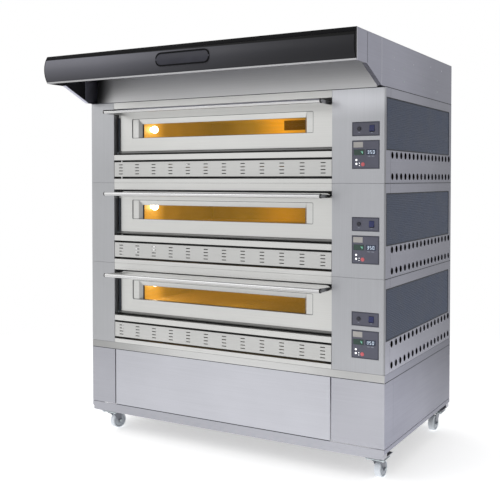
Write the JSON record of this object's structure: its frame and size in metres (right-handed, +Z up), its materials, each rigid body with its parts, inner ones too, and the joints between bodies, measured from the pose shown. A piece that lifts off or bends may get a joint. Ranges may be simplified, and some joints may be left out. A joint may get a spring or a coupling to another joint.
{
  "type": "deck oven",
  "caption": "Stacked gas bakery deck oven with drop-down glazed doors, control column, side grilles, castored stand and extraction hood",
  "frame": {"origin": "centre of the footprint, on the floor under the castors", "axes": "+X to the right seen from the front, +Y to the back, +Z up"},
  "size_m": [1.6272, 1.3634, 1.972],
  "materials": {
    "front_steel": "fine vertical brushing, satin",
    "door_steel": "fine horizontal brushing, satin",
    "handle_steel": "polished along the tube",
    "side_steel": "fine brushing, matt",
    "raw_steel": "plain steel pipe",
    "chamber_steel": "heat-tinted steel",
    "slate_paint": "matt slate",
    "stone": "matt",
    "mineral_wool": "fibrous mat",
    "pane": "clear, amber from the lamp behind it",
    "lamp_glass": "frosted lamp",
    "control_film": "satin film",
    "fascia_film": "glossy dark grey",
    "black_trim": "gloss",
    "black_plastic": "satin",
    "blue_plastic": "satin",
    "display": "gloss",
    "circuit_board": "satin",
    "zinc": "zinc-plated steel",
    "white_nylon": "moulded nylon"
  },
  "bodies": {
    "oven_frame": {"lower_front_panels": "front_steel", "lower_casing": "side_steel", "lower_chamber": "chamber_steel", "lower_control_plates": "control_film", "middle_front_panels": "front_steel", "middle_casing": "side_steel", "middle_chamber": "chamber_steel", "middle_control_plates": "control_film", "upper_front_panels": "front_steel", "upper_casing": "side_steel", "upper_chamber": "chamber_steel", "upper_control_plates": "control_film", "side_grilles": "slate_paint", "vent_panels": "front_steel", "baking_stones": "stone", "burner_tubes": "raw_steel", "oven_lamps": "lamp_glass", "temperature_probes": "zinc", "insulation": "mineral_wool", "door_hinge_pins": "zinc", "display_windows": "display", "control_boards": "circuit_board", "casing_screws": "zinc", "gas_manifold": "raw_steel", "stand_frame": "front_steel", "stand_front_panel": "front_steel", "stand_corner_covers": "front_steel", "stand_side_panels": "side_steel", "stand_back_panel": "side_steel", "castor_plates": "zinc", "hood_body": "side_steel", "hood_cheeks": "side_steel", "hood_fascia": "fascia_film", "hood_fascia_trim": "black_trim", "hood_inner_panel": "front_steel", "hood_badge": "black_trim", "flue_collar": "side_steel"},
    "lower_door_leaf": {"lower_door": "door_steel", "lower_door_glass": "pane", "lower_door_handle": "handle_steel"},
    "middle_door_leaf": {"middle_door": "door_steel", "middle_door_glass": "pane", "middle_door_handle": "handle_steel"},
    "upper_door_leaf": {"upper_door": "door_steel", "upper_door_glass": "pane", "upper_door_handle": "handle_steel"},
    "lower_button": {"lower_light_button": "black_plastic"},
    "lower_rocker": {"lower_power_rocker": "blue_plastic"},
    "middle_button": {"middle_light_button": "black_plastic"},
    "middle_rocker": {"middle_power_rocker": "blue_plastic"},
    "upper_button": {"upper_light_button": "black_plastic"},
    "upper_rocker": {"upper_power_rocker": "blue_plastic"},
    "front_left_castor_fork": {"front_left_fork": "zinc"},
    "front_left_castor_wheel": {"front_left_wheel": "white_nylon"},
    "front_right_castor_fork": {"front_right_fork": "zinc"},
    "front_right_castor_wheel": {"front_right_wheel": "white_nylon"},
    "rear_left_castor_fork": {"rear_left_fork": "zinc"},
    "rear_left_castor_wheel": {"rear_left_wheel": "white_nylon"},
    "rear_right_castor_fork": {"rear_right_fork": "zinc"},
    "rear_right_castor_wheel": {"rear_right_wheel": "white_nylon"}
  },
  "joints": [
    {"name": "lower_door_hinge", "type": "hinge", "parent": "oven_frame", "child": "lower_door_leaf", "pos_m": [0, -0.29725, 0.625], "axis": [1, 0, 0], "range_deg": [0, 90]},
    {"name": "middle_door_hinge", "type": "hinge", "parent": "oven_frame", "child": "middle_door_leaf", "pos_m": [0, -0.29725, 1.038], "axis": [1, 0, 0], "range_deg": [0, 90]},
    {"name": "upper_door_hinge", "type": "hinge", "parent": "oven_frame", "child": "upper_door_leaf", "pos_m": [0, -0.29725, 1.451], "axis": [1, 0, 0], "range_deg": [0, 90]},
    {"name": "lower_button_press", "type": "slide", "parent": "oven_frame", "child": "lower_button", "axis": [0, 1, 0], "range_m": [0, 0.0025], "stiffness_N_per_m": 600, "springref_m": -0.002},
    {"name": "lower_rocker_switch", "type": "hinge", "parent": "oven_frame", "child": "lower_rocker", "pos_m": [0.75, -0.32825, 0.707], "axis": [1, 0, 0], "range_deg": [0, 14]},
    {"name": "middle_button_press", "type": "slide", "parent": "oven_frame", "child": "middle_button", "axis": [0, 1, 0], "range_m": [0, 0.0025], "stiffness_N_per_m": 600, "springref_m": -0.002},
    {"name": "middle_rocker_switch", "type": "hinge", "parent": "oven_frame", "child": "middle_rocker", "pos_m": [0.75, -0.32825, 1.12], "axis": [1, 0, 0], "range_deg": [0, 14]},
    {"name": "upper_button_press", "type": "slide", "parent": "oven_frame", "child": "upper_button", "axis": [0, 1, 0], "range_m": [0, 0.0025], "stiffness_N_per_m": 600, "springref_m": -0.002},
    {"name": "upper_rocker_switch", "type": "hinge", "parent": "oven_frame", "child": "upper_rocker", "pos_m": [0.75, -0.32825, 1.533], "axis": [1, 0, 0], "range_deg": [0, 14]},
    {"name": "front_left_swivel", "type": "hinge", "parent": "oven_frame", "child": "front_left_castor_fork", "pos_m": [-0.714, -0.28525, 0.085], "axis": [0, 0, 1], "continuous": true},
    {"name": "front_left_roll", "type": "hinge", "parent": "front_left_castor_fork", "child": "front_left_castor_wheel", "pos_m": [-0.70473, -0.25672, 0.04], "axis": [-0.9511, 0.309, 0], "continuous": true},
    {"name": "front_right_swivel", "type": "hinge", "parent": "oven_frame", "child": "front_right_castor_fork", "pos_m": [0.764, -0.28525, 0.085], "axis": [0, 0, 1], "continuous": true},
    {"name": "front_right_roll", "type": "hinge", "parent": "front_right_castor_fork", "child": "front_right_castor_wheel", "pos_m": [0.76662, -0.25536, 0.04], "axis": [-0.9962, 0.0872, 0], "continuous": true},
    {"name": "rear_left_swivel", "type": "hinge", "parent": "oven_frame", "child": "rear_left_castor_fork", "pos_m": [-0.714, 0.55675, 0.085], "axis": [0, 0, 1], "continuous": true},
    {"name": "rear_left_roll", "type": "hinge", "parent": "rear_left_castor_fork", "child": "rear_left_castor_wheel", "pos_m": [-0.729, 0.53077, 0.04], "axis": [0.866, -0.5, 0], "continuous": true},
    {"name": "rear_right_swivel", "type": "hinge", "parent": "oven_frame", "child": "rear_right_castor_fork", "pos_m": [0.764, 0.55675, 0.085], "axis": [0, 0, 1], "continuous": true},
    {"name": "rear_right_roll", "type": "hinge", "parent": "rear_right_castor_fork", "child": "rear_right_castor_wheel", "pos_m": [0.76138, 0.52686, 0.04], "axis": [0.9962, -0.0872, 0], "continuous": true}
  ]
}
